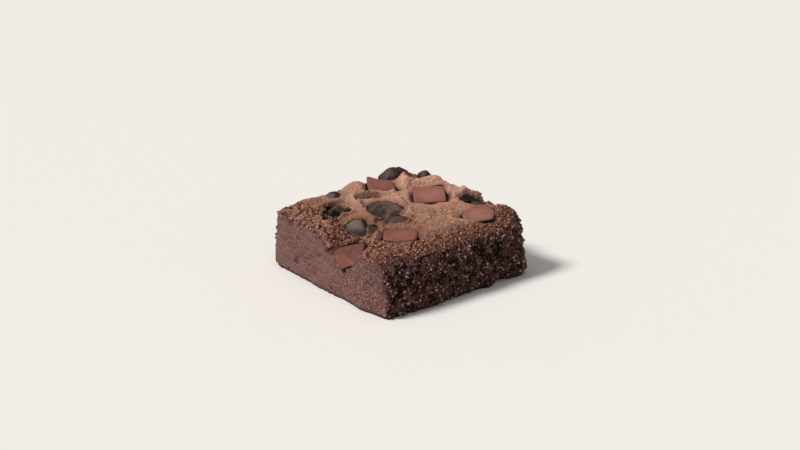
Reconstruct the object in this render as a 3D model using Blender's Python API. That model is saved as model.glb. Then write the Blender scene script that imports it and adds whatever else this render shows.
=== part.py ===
"""Chocolate brownie: one cut square with an uneven baked top, set with milk chocolate
chunks and dark chocolate chips.

Metres, +Z up. The origin is the middle of the flat base, which rests on the table.
The two cut sides that show best face -X (a smooth knife cut) and -Y (a torn, crumbly
side with a soft shoulder). Each chunk and chip is a separate solid in a pocket of the
brownie, with a small gap round it.
"""
from collections import namedtuple
from math import cos, exp, hypot, pi, radians, sin

import bmesh
import bpy
from mathutils import Euler, Matrix, Vector

MM = 0.001                 # the sizes below are in millimetres

# The brownie square
SQUARE = 66.0              # width of the square just above its base
TOP = 22.0                 # height of the crust in the middle of the top
RISE_X = 0.022             # the top climbs a little towards +X and +Y
RISE_Y = 0.026
FOOT = 0.6                 # how far the bottom edge is drawn in
FOOT_HEIGHT = 0.07         # share of the height where the sides have their full width
CELLS = 28                 # columns of the mesh along each side
SIDE_ROWS = (0.07, 0.2, 0.36, 0.52, 0.68, 0.84)
GAP = 0.32                 # clear space round every chunk and chip

# How far each side leans in at the top, and the shoulder where the top rolls over it
Side = namedtuple("Side", "lean shoulder_width shoulder_drop")
LEFT = Side(lean=0.9, shoulder_width=4.0, shoulder_drop=1.0)      # -X, the smooth cut
FRONT = Side(lean=3.0, shoulder_width=10.0, shoulder_drop=3.2)    # -Y, the crumbly side
RIGHT = Side(lean=1.6, shoulder_width=5.0, shoulder_drop=1.6)     # +X
BACK = Side(lean=1.8, shoulder_width=5.0, shoulder_drop=1.6)      # +Y

# Radius of the square's upright corners, by the signs of x and y
CORNER_RADIUS = {(-1, -1): 2.0, (1, -1): 4.5, (-1, 1): 3.5, (1, 1): 6.0}

# Humps (and hollows, with a height below zero) of the crust: middle, height, half widths
Hump = namedtuple("Hump", "x y height wide deep")
HUMPS = (
    Hump(0.8, 25.6, 3.7, 5.6, 5.5),        # the high blister at the back left
    Hump(-19.0, 26.0, 1.6, 6.0, 5.0),
    Hump(21.0, 24.0, 2.2, 6.0, 6.0),       # the ridge into the back corner
    Hump(11.0, 12.0, 0.7, 4.0, 6.0),
    Hump(26.5, 22.5, -1.8, 3.0, 3.0),      # the dip where the lowest back chip sits
    Hump(28.0, 12.0, 1.9, 4.0, 10.0),      # the fold behind the flat chunk
    Hump(28.0, -4.0, 1.9, 4.0, 5.0),
    Hump(28.0, -24.0, 2.6, 5.0, 4.0),      # the knob on the right corner
    Hump(-12.0, 10.0, 1.0, 3.5, 6.0),      # the web between the dark chips
    Hump(-14.5, -2.0, 0.8, 2.5, 5.0),
    Hump(7.0, -7.0, 0.6, 8.0, 6.0),
    Hump(-3.0, 5.0, -1.9, 7.5, 8.0),       # the hollow round the melted chip
    Hump(-22.5, -5.0, -1.6, 5.0, 6.5),
    Hump(-31.0, -18.0, -2.4, 5.5, 9.0),    # the worn edge round the cut chunk
    Hump(-13.0, -17.0, -0.8, 6.0, 4.0),    # and in front of three of the chunks
    Hump(15.0, 1.0, -1.0, 6.0, 4.5),
    Hump(20.0, -21.0, -0.8, 6.0, 4.0),
)

# Bulges (and notches) of a side: the place along it, size, half width, height, half height
Bulge = namedtuple("Bulge", "along out wide height high")
LEFT_BULGES = (
    Bulge(-20.0, 1.4, 6.0, 1.0, 7.0),
    Bulge(0.0, 0.9, 14.0, 1.0, 8.0),
    Bulge(14.0, -0.4, 6.0, 12.0, 6.0),
)
FRONT_BULGES = (
    Bulge(12.0, 2.2, 4.5, 1.0, 5.0),
    Bulge(19.5, -2.2, 2.6, 0.0, 4.0),
    Bulge(-14.0, 0.8, 8.0, 3.0, 8.0),
    Bulge(0.0, 0.6, 6.0, 13.0, 5.0),
    Bulge(24.0, 0.8, 5.0, 9.0, 5.0),
)
RIGHT_BULGES = (
    Bulge(-18.0, 0.8, 7.0, 3.0, 5.0),
    Bulge(4.0, 0.9, 9.0, 8.0, 8.0),
    Bulge(20.0, -0.6, 5.0, 5.0, 6.0),
)
BACK_BULGES = (
    Bulge(-24.0, 1.0, 8.0, 6.0, 6.0),
    Bulge(-2.0, -0.7, 7.0, 12.0, 6.0),
    Bulge(16.0, 1.0, 8.0, 4.0, 7.0),
)


# ------------------------------------------------------------------ scene and materials

def clear_scene():
    for scene_object in list(bpy.data.objects):
        bpy.data.objects.remove(scene_object, do_unlink=True)


def make_collection(name):
    collection = bpy.data.collections.new(name)
    bpy.context.scene.collection.children.link(collection)
    return collection


def make_material(name, colour, roughness):
    material = bpy.data.materials.new(name)
    material.use_nodes = True
    shader = material.node_tree.nodes["Principled BSDF"]
    shader.inputs["Base Color"].default_value = (*colour, 1.0)
    shader.inputs["Roughness"].default_value = roughness
    shader.inputs["Metallic"].default_value = 0.0
    return material


def add_object(name, form, collection, material=None):
    """Turn a bmesh in millimetres into an object in metres."""
    bmesh.ops.recalc_face_normals(form, faces=form.faces)
    bmesh.ops.scale(form, vec=Vector((MM, MM, MM)), verts=form.verts)
    mesh = bpy.data.meshes.new(name)
    form.to_mesh(mesh)
    form.free()
    mesh.shade_smooth()
    mesh.set_sharp_from_angle(angle=radians(35))
    new_object = bpy.data.objects.new(name, mesh)
    if material:
        mesh.materials.append(material)
    collection.objects.link(new_object)
    return new_object


def cut(solid, cutter):
    """Subtract a cutter from a solid with an exact Boolean."""
    cutter.hide_render = True
    cutter.display_type = "WIRE"
    boolean = solid.modifiers.new("cut " + cutter.name, "BOOLEAN")
    boolean.operation = "DIFFERENCE"
    boolean.solver = "EXACT"
    boolean.object = cutter


# ------------------------------------------------------------------ the brownie's form

def bell(distance, half_width):
    return exp(-(distance / half_width) ** 2)


def shoulder(distance, side):
    """How far the top has dropped at a distance inwards from a side."""
    across = max(0.0, 1.0 - distance / side.shoulder_width)
    return side.shoulder_drop * across ** 2.2


def ripple(x, y):
    """The small unevenness of the crust."""
    return 0.22 * sin(0.55 * x + 1.3) * cos(0.48 * y + 0.4) + 0.16 * sin(0.9 * y - 0.6 * x)


def crust_height(x, y):
    """Height of the baked top over a place, without the shoulders at the sides."""
    height = TOP + RISE_X * x + RISE_Y * y + ripple(x, y)
    for hump in HUMPS:
        height += hump.height * bell(x - hump.x, hump.wide) * bell(y - hump.y, hump.deep)
    return height


def top_height(u, v, x, y):
    """Height of the top with its shoulders, where u and v run from -1 to 1 across it."""
    half = SQUARE / 2
    fall = max(shoulder(half * (1 + u), LEFT), shoulder(half * (1 - u), RIGHT),
               shoulder(half * (1 + v), FRONT), shoulder(half * (1 - v), BACK))
    return crust_height(x, y) - fall


def round_corner(x, y, half):
    """Draw a point of the square plan in, so that the square's corners are round."""
    corner = (1 if x > 0 else -1, 1 if y > 0 else -1)
    radius = CORNER_RADIUS[corner]
    inner = half - radius
    over_x, over_y = abs(x) - inner, abs(y) - inner
    if over_x <= 0 or over_y <= 0:
        return x, y
    shrink = max(over_x, over_y) / hypot(over_x, over_y)
    return corner[0] * (inner + over_x * shrink), corner[1] * (inner + over_y * shrink)


def bulge_out(bulges, along, height):
    """How far a side stands out at a place on it."""
    return sum(b.out * bell(along - b.along, b.wide) * bell(height - b.height, b.high)
               for b in bulges)


def side_place(u, v, w):
    """Place in millimetres of a cage point, where u and v run from -1 to 1 and w from 0 to 1."""
    half = SQUARE / 2
    x, y = round_corner(u * half, v * half, half)
    lean_x = (LEFT if u < 0 else RIGHT).lean
    lean_y = (FRONT if v < 0 else BACK).lean
    drawn_in = w ** 1.4
    foot = FOOT * max(0.0, 1.0 - w / FOOT_HEIGHT)
    x *= 1 - (lean_x * drawn_in + foot) / half
    y *= 1 - (lean_y * drawn_in + foot) / half
    height = w * top_height(u, v, x, y)
    near_x, near_y = abs(u) ** 12, abs(v) ** 12
    if u < 0:
        x -= near_x * bulge_out(LEFT_BULGES, y, height)
    else:
        x += near_x * bulge_out(RIGHT_BULGES, y, height)
    if v < 0:
        y -= near_y * bulge_out(FRONT_BULGES, x, height)
    else:
        y += near_y * bulge_out(BACK_BULGES, x, height)
    return Vector((x, y, height))


def spread(step):
    """Spacing of the mesh columns: closer together towards the sides."""
    t = 2 * step / CELLS - 1
    return 0.55 * t + 0.45 * sin(0.5 * pi * t)


def split_cage(form, axis, value):
    """Cut a ring of new edges through the cage, square to one axis."""
    place, normal = Vector((0, 0, 0)), Vector((0, 0, 0))
    place[axis] = value
    normal[axis] = 1
    geometry = form.verts[:] + form.edges[:] + form.faces[:]
    bmesh.ops.bisect_plane(form, geom=geometry, plane_co=place, plane_no=normal)


def brownie_form():
    """A cube cut into a cage and drawn out into the uneven square."""
    form = bmesh.new()
    bmesh.ops.create_cube(form, size=2.0)
    for axis in (0, 1):
        for step in range(1, CELLS):
            split_cage(form, axis, spread(step))
    for share in SIDE_ROWS:
        split_cage(form, 2, 2 * share - 1)
    for vertex in form.verts:
        u, v, w = vertex.co.x, vertex.co.y, (vertex.co.z + 1) / 2
        vertex.co = side_place(u, v, w)
    base = [face for face in form.faces if face.calc_center_median().z < 0.01]
    bmesh.ops.dissolve_faces(form, faces=base)
    bmesh.ops.triangulate(form, faces=form.faces)
    return form


# ------------------------------------------------------------------ chunks and chips

# A milk chocolate chunk is a flat broken piece. Its corners lie in its top face, x to the
# right and y up the slope; place is the middle of that face, and tilt and turn are its
# angles in degrees. The knife cut through the chunk in the smooth side, which ends flush.
Chunk = namedtuple("Chunk", "name place tilt turn thick corners flush")
CHUNKS = (
    Chunk("milk_chunk_edge", (-31.0, -10.6, 16.9), 50, -60, 4.2,
          ((-6.5, 0.8), (-6.3, -4.0), (-1.5, -6.2), (2.8, -4.6), (4.9, -1.9), (5.5, 1.8),
           (4.8, 4.5), (-1.2, 2.8)), True),
    Chunk("milk_chunk_front", (-13.2, -16.6, 21.0), 5, -40, 5.5,
          ((-6.1, 4.3), (-6.0, -3.6), (-0.4, -4.9), (5.0, -3.6), (6.2, 3.9), (-0.5, 5.0)),
          False),
    Chunk("milk_chunk_flat", (19.3, 6.5, 22.8), 13, -40, 5.5,
          ((-6.0, 4.8), (-5.3, -6.1), (6.0, -4.8), (5.4, 6.2)), False),
    Chunk("milk_chunk_right", (20.6, -18.7, 22.2), 12, -40, 5.5,
          ((-5.4, -1.6), (-4.6, -4.3), (0.1, -5.6), (4.4, -4.2), (5.4, 1.3), (2.4, 5.6),
           (-1.6, 4.4)), False),
    Chunk("milk_chunk_back", (9.8, 22.6, 24.4), 15, -40, 5.5,
          ((-5.8, 5.7), (-5.4, -1.6), (-4.0, -5.4), (2.4, -5.4), (5.8, -3.0), (3.8, 2.8),
           (-1.6, 3.7)), False),
)
CHUNK_BEVEL = 0.5
CUT_FACE = -32.8           # x of the knife cut through the edge chunk
POCKET_MOUTH = 4.0         # how far a chunk's pocket is cut on above its top face

# A dark chip is a rounded drop: half widths, the height of its tip, its tilt and its turn.
Chip = namedtuple("Chip", "name place half tip tilt turn")
CHIPS = (
    Chip("dark_chip_melted", (-2.6, 5.6, 19.8), (7.4, 7.6, 2.4), 0.0, 8, -40),
    Chip("dark_chip_small", (-6.0, -6.4, 20.4), (3.9, 2.6, 1.6), 0.0, 10, -40),
    Chip("dark_chip_left", (-21.2, -2.8, 20.4), (3.4, 4.8, 2.6), 0.8, 14, -40),
    Chip("dark_chip_left_low", (-16.9, -6.8, 19.9), (2.3, 2.4, 1.5), 0.0, 10, -40),
    Chip("dark_chip_hollow", (-15.6, 15.8, 18.9), (4.6, 4.0, 2.0), 0.4, 14, -40),
    Chip("dark_chip_back_left", (-9.7, 26.4, 22.2), (2.5, 2.3, 2.0), 0.0, 0, -40),
    Chip("dark_chip_back_corner", (17.3, 27.6, 23.8), (3.3, 2.9, 2.9), 0.0, 0, -40),
    Chip("dark_chip_corner", (23.3, 27.4, 24.0), (2.3, 2.3, 2.6), 0.0, 0, -40),
    Chip("dark_chip_back_right", (27.4, 18.4, 24.6), (2.2, 2.2, 1.9), 0.8, 0, -40),
    Chip("dark_chip_back_low", (26.0, 22.8, 23.0), (1.9, 1.9, 1.5), 0.0, 0, -40),
    Chip("dark_chip_right", (27.6, -10.0, 20.8), (3.6, 2.4, 1.8), 0.4, 8, -40),
)
CHIP_SEGMENTS = 12
CHIP_RINGS = 7

# Hollows cut into the top: middle, half widths, tilt and turn
Hollow = namedtuple("Hollow", "name place half tilt turn")
HOLLOWS = (
    Hollow("hollow_left", (-17.0, 14.0, 21.2), (5.2, 5.0, 3.0), 20, -40),
    Hollow("hollow_right", (27.0, -10.4, 23.0), (4.8, 3.2, 2.7), 20, -40),
    Hollow("hollow_small", (-7.4, -3.0, 20.6), (1.5, 1.5, 1.8), 0, -40),
)


def place_form(form, place, tilt, turn):
    angles = Euler((radians(tilt), 0.0, radians(turn)))
    matrix = Matrix.Translation(Vector(place)) @ angles.to_matrix().to_4x4()
    bmesh.ops.transform(form, matrix=matrix, verts=form.verts)


def chunk_form(chunk, margin=0.0, mouth=0.0):
    """A flat broken piece: its outline, grown by the margin, drawn down and bevelled."""
    form = bmesh.new()
    height = margin + mouth
    corners = [form.verts.new((x, y, height)) for x, y in grown(chunk.corners, margin)]
    top = form.faces.new(corners)
    drawn = bmesh.ops.extrude_face_region(form, geom=[top])
    lower = [item for item in drawn["geom"] if isinstance(item, bmesh.types.BMVert)]
    bmesh.ops.translate(form, vec=Vector((0, 0, -chunk.thick - margin - height)), verts=lower)
    bmesh.ops.recalc_face_normals(form, faces=form.faces)
    bmesh.ops.bevel(form, geom=form.edges[:], offset=CHUNK_BEVEL, segments=1,
                    affect="EDGES", profile=0.5)
    place_form(form, chunk.place, chunk.tilt, chunk.turn)
    return form


def cut_flush(form):
    """Cut a form off at the knife cut, and close it there."""
    geometry = form.verts[:] + form.edges[:] + form.faces[:]
    bmesh.ops.bisect_plane(form, geom=geometry, plane_co=Vector((CUT_FACE, 0, 0)),
                           plane_no=Vector((-1, 0, 0)), clear_outer=True)
    bmesh.ops.holes_fill(form, edges=[edge for edge in form.edges if edge.is_boundary])


def grown(corners, margin):
    """The outline with every corner moved outwards by the margin on both its sides."""
    moved = []
    count = len(corners)
    for index, corner in enumerate(corners):
        here = Vector(corner)
        before = (here - Vector(corners[index - 1])).normalized()
        after = (Vector(corners[(index + 1) % count]) - here).normalized()
        outwards = Vector((before.y + after.y, -before.x - after.x)).normalized()
        half_angle_cosine = outwards.dot(Vector((after.y, -after.x)))
        moved.append(here + outwards * margin / max(0.3, half_angle_cosine))
    return moved


def chip_form(chip, margin):
    """A drop of chocolate: a sphere pressed to its half widths with a tip drawn up."""
    form = bmesh.new()
    bmesh.ops.create_uvsphere(form, u_segments=CHIP_SEGMENTS, v_segments=CHIP_RINGS, radius=1.0)
    for vertex in form.verts:
        x, y, z = vertex.co
        tip = chip.tip * max(0.0, 1 - 1.6 * hypot(x, y)) if z > 0 else 0.0
        vertex.co = Vector((x * (chip.half[0] + margin), y * (chip.half[1] + margin),
                            z * (chip.half[2] + margin) + tip))
    place_form(form, chip.place, chip.tilt, chip.turn)
    return form


def hollow_form(hollow):
    form = bmesh.new()
    bmesh.ops.create_uvsphere(form, u_segments=CHIP_SEGMENTS, v_segments=CHIP_RINGS, radius=1.0)
    bmesh.ops.scale(form, vec=Vector(hollow.half), verts=form.verts)
    place_form(form, hollow.place, hollow.tilt, hollow.turn)
    return form


# ------------------------------------------------------------------ building the part

def build():
    clear_scene()
    parts = make_collection("chocolate_brownie")
    cutters = make_collection("cutters")
    crumb = make_material("crumb", (0.105, 0.052, 0.036), 0.85)
    milk = make_material("milk_chocolate", (0.21, 0.095, 0.068), 0.45)
    dark = make_material("dark_chocolate", (0.055, 0.038, 0.03), 0.4)

    brownie = add_object("brownie", brownie_form(), parts, crumb)
    for hollow in HOLLOWS:
        cut(brownie, add_object(hollow.name, hollow_form(hollow), cutters))
    for chunk in CHUNKS:
        form = chunk_form(chunk)
        if chunk.flush:
            cut_flush(form)
        add_object(chunk.name, form, parts, milk)
        pocket = chunk_form(chunk, GAP, POCKET_MOUTH)
        cut(brownie, add_object(chunk.name + "_pocket", pocket, cutters))
    for chip in CHIPS:
        add_object(chip.name, chip_form(chip, 0.0), parts, dark)
        cut(brownie, add_object(chip.name + "_pocket", chip_form(chip, GAP), cutters))


build()
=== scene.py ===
from collections import namedtuple
from math import cos, radians, sin
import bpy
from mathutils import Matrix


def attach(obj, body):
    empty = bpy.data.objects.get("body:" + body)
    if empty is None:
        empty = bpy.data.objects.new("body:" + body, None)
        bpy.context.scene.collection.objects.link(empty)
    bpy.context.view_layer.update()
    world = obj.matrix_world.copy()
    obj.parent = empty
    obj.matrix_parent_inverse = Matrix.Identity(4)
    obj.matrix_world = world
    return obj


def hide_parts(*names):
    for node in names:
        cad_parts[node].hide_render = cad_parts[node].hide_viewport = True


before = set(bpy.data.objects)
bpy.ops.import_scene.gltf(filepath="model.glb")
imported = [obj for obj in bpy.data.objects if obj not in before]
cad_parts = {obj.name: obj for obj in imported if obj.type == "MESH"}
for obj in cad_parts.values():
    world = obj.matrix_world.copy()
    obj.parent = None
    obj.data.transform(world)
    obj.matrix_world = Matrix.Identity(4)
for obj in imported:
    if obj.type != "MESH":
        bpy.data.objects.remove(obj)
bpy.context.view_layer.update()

from types import SimpleNamespace

import bmesh
import bpy
import numpy as np
from mathutils import Vector, noise
from mathutils.bvhtree import BVHTree

MM = 0.001                      # the sizes below are in millimetres

# ------------------------------------------------------------------ sizes of the looks

CRUMB_VOXEL = 0.33              # cell of the brownie's fine mesh
CRUMB_FACES = 196000            # and the most triangles that it keeps
CRUMB_SMOOTHING = 12            # how often its facets are smoothed
CHOCOLATE_VOXEL = 0.3           # cell of the chunks and chips
CHOCOLATE_SMOOTHING = 5
BASE = 0.25                     # below this height the brownie lies flat on the table
INSIDE = 1.4                    # no place of the crust lies deeper than this in the chocolate
FLATTENED = 0.85                # how much of a chip is cut off beyond its flat faces
HOLLOW_WALL = (0.74, 1.06)      # where a hollow's wall starts and ends, as a share of its radius
CRACK, RIM_DROP = 0.62, 1.2     # the crack on a chunk's near side, and how far its rim sinks
WIDEST_CRACK = (24.6, 1.6)      # where the crack gapes most, in x and y
GRAIN_SHAPES = 4                # shapes of loose crumbs
FULL_TURN = 6.283

# Raised folds and sunk creases, each along a line: its two ends, how far it stands up (or
# dips, below zero) and its half width
Fold = namedtuple("Fold", "x0 y0 x1 y1 height wide")
CRUST_FOLDS = (
    Fold(-5.5, 20.5, -9.0, 12.0, 1.6, 1.5),        # the web between the three left chips
    Fold(-9.0, 12.0, -13.0, 3.5, 1.8, 1.2),
    Fold(-13.0, 3.5, -14.8, -3.5, 1.7, 0.9),
    Fold(-11.5, 7.5, -19.5, 8.6, 1.1, 1.2),
    Fold(-19.5, 8.6, -26.0, 7.8, 0.8, 1.5),
    Fold(-22.0, 19.5, -11.5, 19.9, 1.3, 1.3),      # the rim behind the left hollow
    Fold(-26.0, 22.5, -22.0, 25.0, 0.8, 3.0),
    Fold(-3.6, 20.0, 3.4, 15.6, -1.4, 1.3),        # the valley below the back chunk
    Fold(1.6, 19.6, 9.0, 14.6, 1.4, 0.9),
    Fold(4.6, 24.6, 2.2, 21.2, -1.2, 1.2),         # the shaded side of the blister
    Fold(3.2, 13.8, 6.6, 8.2, 0.9, 1.3),           # the edge round the melted chip
    Fold(6.6, 8.2, 4.0, 0.5, 0.9, 1.4),
    Fold(4.0, 0.5, -1.0, -7.0, 0.8, 1.6),
    Fold(16.6, 17.2, 20.0, 22.6, 1.5, 2.0),        # the peak in front of the back chips
    Fold(19.0, 18.4, 29.0, 11.6, 1.9, 1.5),        # the fold above the flat chunk
    Fold(28.4, 8.0, 25.4, 0.6, 1.2, 1.1),
    Fold(24.0, -1.4, 22.8, -3.4, 1.4, 0.9),
    Fold(25.6, 1.4, 24.8, -1.6, -0.9, 0.7),
    Fold(30.0, 5.0, 27.4, -3.6, 1.2, 1.3),
    Fold(28.6, -2.6, 31.4, -6.6, 1.3, 1.6),        # the crust over the right hollow
    Fold(31.2, -7.0, 31.6, -14.5, 1.1, 1.2),
    Fold(-16.2, -4.6, -18.6, -10.5, 0.9, 1.1),
    Fold(-23.4, -18.6, -20.2, -23.0, 0.4, 1.0),    # the ledge below the front chunk
    Fold(-20.2, -23.0, -12.6, -24.8, 0.4, 1.0),
    Fold(11.4, -21.0, 14.2, -26.2, 0.5, 1.0),      # the ledge below the right chunk
    Fold(14.2, -26.2, 19.5, -28.0, 0.5, 1.0),
    Fold(27.4, -16.5, 25.2, -24.4, 1.3, 1.2),
    Fold(12.1, -2.2, 12.7, -6.9, -0.45, 0.5),      # fine wrinkles of the plain part
    Fold(12.7, -6.9, 12.2, -12.8, -0.45, 0.5),
    Fold(12.2, -12.8, 14.0, -16.1, -0.40, 0.5),
    Fold(15.9, -6.0, 18.3, -8.6, -0.35, 0.5),
    Fold(2.0, -12.0, 9.0, -15.5, -0.35, 0.5),
    Fold(3.5, -8.0, 9.0, -8.5, -0.30, 0.5),
)
CHIP_FOLDS = (
    Fold(-6.0, 11.2, -0.4, 11.4, 0.6, 1.2),        # the melted chip's lobes and dips
    Fold(1.2, 9.6, 2.6, 3.6, 0.7, 1.2),
    Fold(-9.4, 4.4, -3.4, 7.6, 1.0, 1.0),
    Fold(-5.6, 9.4, -1.2, 8.6, -1.0, 0.9),
    Fold(-1.0, 6.4, 0.4, 1.4, -0.8, 0.9),
    Fold(-7.4, 1.4, -2.6, 3.8, -1.1, 1.2),
    Fold(-5.6, -0.6, -0.6, 1.0, 0.7, 1.0),
    Fold(-20.2, -3.4, -17.4, -5.6, 0.9, 1.3),      # the left chips, run together
    Fold(-19.9, 14.6, -13.4, 17.8, 0.9, 1.2),      # the crest of the chip in the hollow
    Fold(18.6, 28.0, 21.6, 27.2, 1.3, 1.9),        # the back chips, run together
)
# Flat faces on the chips: a place on the face and the way it looks
Flat = namedtuple("Flat", "name place way")
FLATS = (
    Flat("dark_chip_left", (-21.6, -2.4, 21.8), (-0.68, -0.48, 0.56)),
    Flat("dark_chip_left", (-18.4, -3.2, 22.0), (0.60, -0.60, 0.53)),
    Flat("dark_chip_left", (-19.0, 0.6, 23.0), (0.10, 0.30, 0.95)),
    Flat("dark_chip_left_low", (-17.6, -6.0, 21.4), (0.10, -0.50, 0.86)),
    Flat("dark_chip_back_corner", (15.4, 26.8, 25.6), (-0.62, -0.10, 0.78)),
    Flat("dark_chip_back_left", (-10.8, 25.6, 23.4), (-0.60, -0.30, 0.74)),
    Flat("dark_chip_hollow", (-18.4, 14.4, 20.4), (-0.44, -0.80, 0.40)),
    Flat("dark_chip_melted", (-9.4, 1.0, 21.6), (-0.55, -0.30, 0.78)),
    Flat("dark_chip_right", (26.4, -11.4, 21.4), (-0.30, -0.60, 0.74)),
    Flat("dark_chip_small", (-7.4, -7.4, 21.4), (-0.45, -0.50, 0.74)),
)

# Hollows with steep walls: middle, half length, half width, the turn of the length in
# degrees, how deep, and how dark the painted shade inside is
Hollow = namedtuple("Hollow", "x y long short turn deep dark")
HOLLOWS = (
    Hollow(-18.6, 13.4, 7.4, 4.4, 35, 3.0, 0.9),
    Hollow(-10.4, -5.0, 2.2, 1.6, 30, 2.4, 1.0),
    Hollow(27.2, -8.0, 5.2, 3.4, -62, 2.2, 1.0),
    Hollow(-7.6, -2.2, 6.6, 3.4, 12, 1.2, 0.2),
    Hollow(-17.6, -8.0, 2.4, 1.6, 20, 1.4, 0.8),
    Hollow(-23.6, -2.2, 1.8, 1.0, 60, 1.6, 0.8),
    Hollow(-5.4, 15.4, 3.8, 2.0, 75, 1.8, 0.6),
    Hollow(0.2, 18.6, 5.0, 1.9, -32, 0.3, 0.40),
)
FRONT = np.array((-0.64, -0.77, 0.0))    # the way the front corner points

# The soft edges between one kind of surface and the next: where each starts and ends
UPWARDS = (0.25, 0.60)          # by the height of the normal
NOT_UNDER = (-0.2, 0.3)
UPPER = (14, 17)                # by height, above the cut sides' middle
CRUST_HEIGHT = (12, 15)
SHOULDER = (22.6, 25.6)         # by distance towards the front side
TORN_SIDE = (28, 31)            # by distance towards a side

# The left rim of the crust, which sinks towards the front
RIM_HEIGHT, RIM_SINK, RIM_CURVE = 19.5, 0.030, 1.55


def paint(red, green, blue):
    """A linear colour from the 0 to 255 values that a screen shows."""
    return (*[(value / 255) ** 2.2 for value in (red, green, blue)], 1.0)


# Colours
# CRUST_PALE also paints highlight on folds, CRUST_RED shade in dips and round the chocolate
CRUST_TAN = paint(140, 100, 83)
CRUST_WARM = paint(184, 139, 117)
CRUST_PALE = paint(196, 150, 128)
CRUST_BROWN = paint(104, 65, 50)
CRUST_RED = paint(96, 49, 36)
CRUST_OCHRE = paint(164, 106, 72)
CRUST_OLIVE = paint(134, 103, 80)
SAND_DARK = paint(66, 27, 15)
SAND_PALE = paint(192, 142, 114)
SAND_BROWN = paint(112, 60, 38)
CUT_MAUVE = paint(117, 85, 79)
CUT_PALE = paint(154, 118, 110)
CUT_DARK = paint(72, 44, 39)
CRUMB_DARK = paint(28, 6, 5)
CRUMB_BROWN = paint(100, 55, 46)
CRUMB_FLECK = paint(204, 166, 160)
# Painted shade in the cracks, on the pockets' walls and in the hollows, darker towards the foot;
# also the colour of the chocolate's small marks
SHADE_AND_MARK_DARK = paint(28, 11, 8)
# The chocolates' pale colours serve bloom and painted highlight, their darkest ones painted shade
MILK = paint(108, 62, 52)
MILK_PAINTED_SHADE = paint(58, 26, 19)
MILK_PALE = paint(140, 95, 86)
DARK = paint(54, 41, 35)
DARK_PAINTED_SHADE = paint(24, 15, 12)
DARK_PALE = paint(104, 86, 74)


# ------------------------------------------------------------------ meshes

def add_object(name, mesh):
    new_object = bpy.data.objects.new(name, mesh)
    bpy.context.scene.collection.objects.link(new_object)
    return new_object


def copy_of_node(name):
    """A node's own mesh, with its loose triangles joined up."""
    form = bmesh.new()
    form.from_mesh(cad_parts[name].data)
    bmesh.ops.remove_doubles(form, verts=form.verts, dist=0.001 * MM)
    mesh = bpy.data.meshes.new(name + "_copy")
    form.to_mesh(mesh)
    form.free()
    return mesh


def settled(worker, name):
    """The worker object's mesh with its modifiers made final; the worker is thrown away."""
    evaluated = worker.evaluated_get(bpy.context.evaluated_depsgraph_get())
    mesh = bpy.data.meshes.new_from_object(evaluated)
    mesh.name = name
    bpy.data.objects.remove(worker)
    return mesh


def fine_mesh(name, voxel, smoothing):
    """The node's form in small even faces, with its facets smoothed away."""
    worker = add_object("worker", copy_of_node(name))
    remesh = worker.modifiers.new("remesh", "REMESH")
    remesh.mode = "VOXEL"
    remesh.voxel_size = voxel * MM
    smooth = worker.modifiers.new("smooth", "SMOOTH")
    smooth.factor = 0.5
    smooth.iterations = smoothing
    return settled(worker, name + "_fine")


def places_of(mesh):
    """The vertices' places in millimetres."""
    flat = np.empty(len(mesh.vertices) * 3, np.float32)
    mesh.vertices.foreach_get("co", flat)
    return flat.reshape(-1, 3).astype(float) / MM


def normals_of(mesh):
    flat = np.empty(len(mesh.vertices) * 3, np.float32)
    mesh.vertex_normals.foreach_get("vector", flat)
    return flat.reshape(-1, 3).astype(float)


def move_to(mesh, places):
    mesh.vertices.foreach_set("co", (places * MM).astype(np.float32).ravel())
    mesh.update()


def keep_value(mesh, name, values):
    """Keep one number a vertex for the materials and the crumbs to read."""
    attribute = mesh.attributes.new(name, "FLOAT", "POINT")
    attribute.data.foreach_set("value", np.clip(values, -1, 1).astype(np.float32))


def noise_at(places, size, seed, basis="PERLIN_ORIGINAL"):
    """Noise from about -1 to 1 at each place, with lumps of about a size."""
    moved = places / size + np.array((7.31, 3.77, 5.19)) * seed
    return np.array([noise.noise(place, noise_basis=basis) for place in moved.tolist()])


def grains_at(places, size, seed):
    """Packed grains: 1 on the middle of each, 0 in the cracks between them."""
    return np.clip(-noise_at(places, size, seed, "VORONOI_F1"), -1, 1) * 0.5 + 0.5


def step(value, low, high):
    """0 below low, 1 above high, and a smooth slope between them."""
    share = np.clip((value - low) / (high - low), 0, 1)
    return share * share * (3 - 2 * share)


def bell(distance, half_width):
    return np.exp(-(distance / half_width) ** 2)


def flatten_base(mesh):
    """Turn the small faces that lie on the table into one flat face."""
    form = bmesh.new()
    form.from_mesh(mesh)
    base = [face for face in form.faces
            if all(vertex.co.z < 0.01 * MM for vertex in face.verts)]
    bmesh.ops.dissolve_faces(form, faces=base)
    form.to_mesh(mesh)
    form.free()
    mesh.update()


def thinned(mesh, most):
    """The mesh with no more than a number of triangles, taken where it is smoothest."""
    mesh.calc_loop_triangles()
    count = len(mesh.loop_triangles)
    if count <= most:
        return mesh
    worker = add_object("worker", mesh)
    decimate = worker.modifiers.new("thin", "DECIMATE")
    decimate.ratio = most / count
    return settled(worker, mesh.name)


# ------------------------------------------------------------------ the brownie's surface

CHUNKS = ("milk_chunk_edge", "milk_chunk_front", "milk_chunk_flat", "milk_chunk_right",
          "milk_chunk_back")
CHIPS = ("dark_chip_melted", "dark_chip_small", "dark_chip_left", "dark_chip_left_low",
         "dark_chip_hollow", "dark_chip_back_left", "dark_chip_back_corner",
         "dark_chip_corner", "dark_chip_back_right", "dark_chip_back_low",
         "dark_chip_right")
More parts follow.
